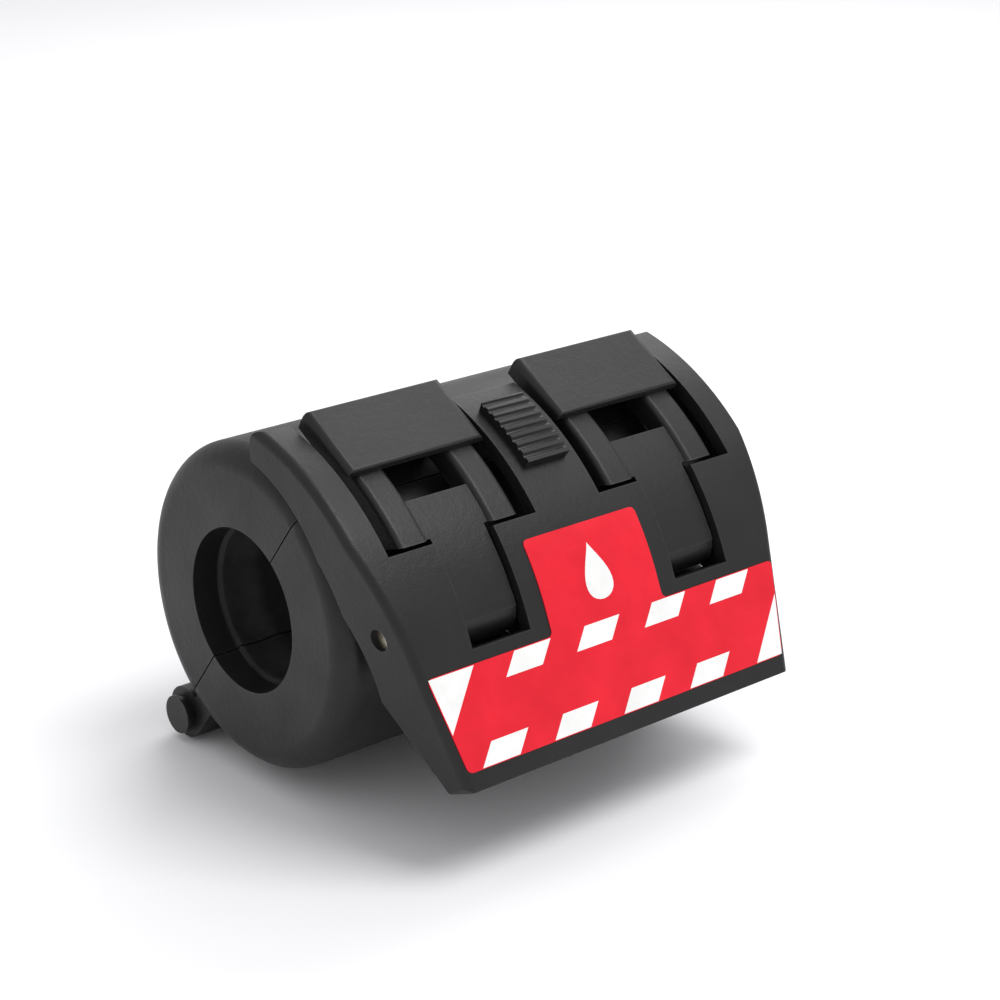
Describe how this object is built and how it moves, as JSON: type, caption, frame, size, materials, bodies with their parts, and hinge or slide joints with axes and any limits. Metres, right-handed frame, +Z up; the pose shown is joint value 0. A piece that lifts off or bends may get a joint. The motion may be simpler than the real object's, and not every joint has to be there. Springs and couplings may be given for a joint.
{
  "type": "pipe repair clamp",
  "caption": "Black plastic pipe repair clamp: round body in hinged halves with rubber liners, closed by a wide lever with latch hooks and a sliding thumb lock.",
  "frame": {"origin": "on the pipe's axis, half way along the body", "axes": "+X along the pipe; the lever is at -Y (front); +Z up, towards the latch pads"},
  "size_m": [0.07, 0.0657, 0.0549],
  "materials": {
    "body": "fine grain",
    "hook": "fine grain",
    "thumb": "satin",
    "seal": "matt",
    "pin": "satin",
    "spring": "satin",
    "label": "gloss"
  },
  "bodies": {
    "lower_body": {"lower_shell": "body", "lower_seal": "seal", "hinge_pin": "pin", "hinge_pin_caps": "thumb"},
    "upper_body": {"upper_shell": "body", "upper_seal": "seal"},
    "lever_body": {"lever": "body", "link_pin": "pin", "left_pivot_pin": "pin", "right_pivot_pin": "pin", "centre_pivot_pin": "pin", "label": "label", "left_hook_spring": "spring", "right_hook_spring": "spring", "lever_spring": "spring", "lock_spring": "spring"},
    "left_hook_body": {"left_hook": "hook"},
    "right_hook_body": {"right_hook": "hook"},
    "lock_body": {"lock_slider": "thumb", "lock_bolt": "thumb", "lock_screw": "pin"}
  },
  "joints": [
    {"name": "upper_shell_open", "type": "hinge", "parent": "lower_body", "child": "upper_body", "pos_m": [0, 0.01675, -0.02143], "axis": [-1, 0, 0], "range_deg": [0, 55]},
    {"name": "lever_press", "type": "hinge", "parent": "lower_body", "child": "lever_body", "pos_m": [0, -0.0264, 0.0106], "axis": [1, 0, 0], "range_deg": [0, 20]},
    {"name": "left_hook_swing", "type": "hinge", "parent": "lever_body", "child": "left_hook_body", "pos_m": [0, -0.0295, 0.0053], "axis": [1, 0, 0], "range_deg": [0, 88]},
    {"name": "right_hook_swing", "type": "hinge", "parent": "lever_body", "child": "right_hook_body", "pos_m": [0, -0.0295, 0.0053], "axis": [1, 0, 0], "range_deg": [0, 88]},
    {"name": "lock_slide", "type": "hinge", "parent": "lever_body", "child": "lock_body", "pos_m": [0, 0.001, -0.0108], "axis": [1, 0, 0], "range_deg": [0, 3.4]}
  ],
  "couplings": [
    {"joint": "left_hook_swing", "follows": "upper_shell_open", "ratio": 1.6},
    {"joint": "right_hook_swing", "follows": "upper_shell_open", "ratio": 1.6}
  ]
}
